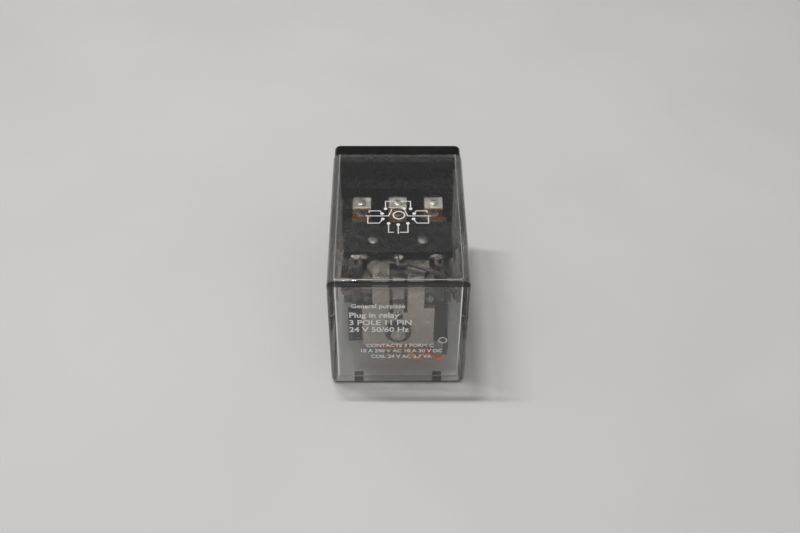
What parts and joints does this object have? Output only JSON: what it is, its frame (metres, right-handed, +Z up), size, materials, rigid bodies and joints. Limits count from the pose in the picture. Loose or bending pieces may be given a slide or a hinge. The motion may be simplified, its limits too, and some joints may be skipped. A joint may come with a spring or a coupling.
{
  "type": "plug in relay",
  "caption": "Plug-in electromagnetic relay with a clear cover, black base with a keyed round plug, coil, hinged armature and changeover contacts, lying on its side.",
  "frame": {"origin": "middle of the footprint at the level of the face the relay lies on", "axes": "+Y from the closed end of the cover to the plug, along the pins; +Z up from the side it lies on; +X across the three poles"},
  "size_m": [0.0358, 0.0684, 0.0389],
  "materials": {
    "clear_cover": "clear polished moulded polycarbonate",
    "black_phenolic": "satin moulded phenolic",
    "pin_nickel": "nickel plated",
    "frame_steel": "plated satin steel",
    "core_steel": "satin",
    "copper": "bright copper",
    "bobbin_black": "moulded nylon",
    "winding_red": "enamelled copper wire",
    "tape_black": "insulating tape",
    "fibre_black": "vulcanised fibre",
    "rivet_steel": "plated",
    "spring_steel": "plated spring wire",
    "insulator_black": "moulded phenolic",
    "bronze_arm": "phosphor bronze strip",
    "contact_silver": "silver alloy",
    "tab_silver": "tin plated brass",
    "solder": "bright solder",
    "copper_braid": "stranded flexible braid",
    "orange_lead": "extruded insulation",
    "brown_lead": "extruded insulation"
  },
  "bodies": {
    "housing": {"cover": "clear_cover", "base": "black_phenolic", "pin_01": "pin_nickel", "pin_02": "pin_nickel", "pin_03": "pin_nickel", "pin_04": "pin_nickel", "pin_05": "pin_nickel", "pin_06": "pin_nickel", "pin_07": "pin_nickel", "pin_08": "pin_nickel", "pin_09": "pin_nickel", "pin_10": "pin_nickel", "pin_11": "pin_nickel", "frame": "frame_steel", "frame_spacer_left": "core_steel", "frame_spacer_right": "core_steel", "frame_screw_left": "rivet_steel", "frame_screw_right": "rivet_steel", "core": "core_steel", "shading_ring": "copper", "bobbin": "bobbin_black", "winding": "winding_red", "coil_tape": "tape_black", "coil_lug_left": "solder", "coil_lug_right": "solder", "coil_lead_left": "brown_lead", "coil_lead_right": "orange_lead", "braid_left": "copper_braid", "braid_center": "copper_braid", "braid_right": "copper_braid", "return_spring": "spring_steel", "open_terminal_left": "tab_silver", "open_terminal_center": "tab_silver", "open_terminal_right": "tab_silver", "open_contact_left": "contact_silver", "open_contact_center": "contact_silver", "open_contact_right": "contact_silver", "closed_terminal_left": "tab_silver", "closed_terminal_center": "tab_silver", "closed_terminal_right": "tab_silver", "closed_contact_left": "contact_silver", "closed_contact_center": "contact_silver", "closed_contact_right": "contact_silver"},
    "moving_armature": {"armature": "frame_steel", "fibre_washer": "fibre_black", "residual_rivet": "rivet_steel", "insulator": "insulator_black", "insulator_rivet_left": "rivet_steel", "insulator_rivet_right": "rivet_steel", "contact_arm_left": "bronze_arm", "contact_arm_center": "bronze_arm", "contact_arm_right": "bronze_arm", "moving_contact_left": "contact_silver", "moving_contact_center": "contact_silver", "moving_contact_right": "contact_silver"}
  },
  "joints": [
    {"name": "armature_hinge", "type": "hinge", "parent": "housing", "child": "moving_armature", "pos_m": [0, -0.02805, 0.03115], "axis": [1, 0, 0], "range_deg": [0, 2.5], "stiffness_Nm_per_rad": 0.02, "springref_deg": -11.46, "deforming": ["return_spring", "braid_left", "braid_center", "braid_right"]}
  ]
}
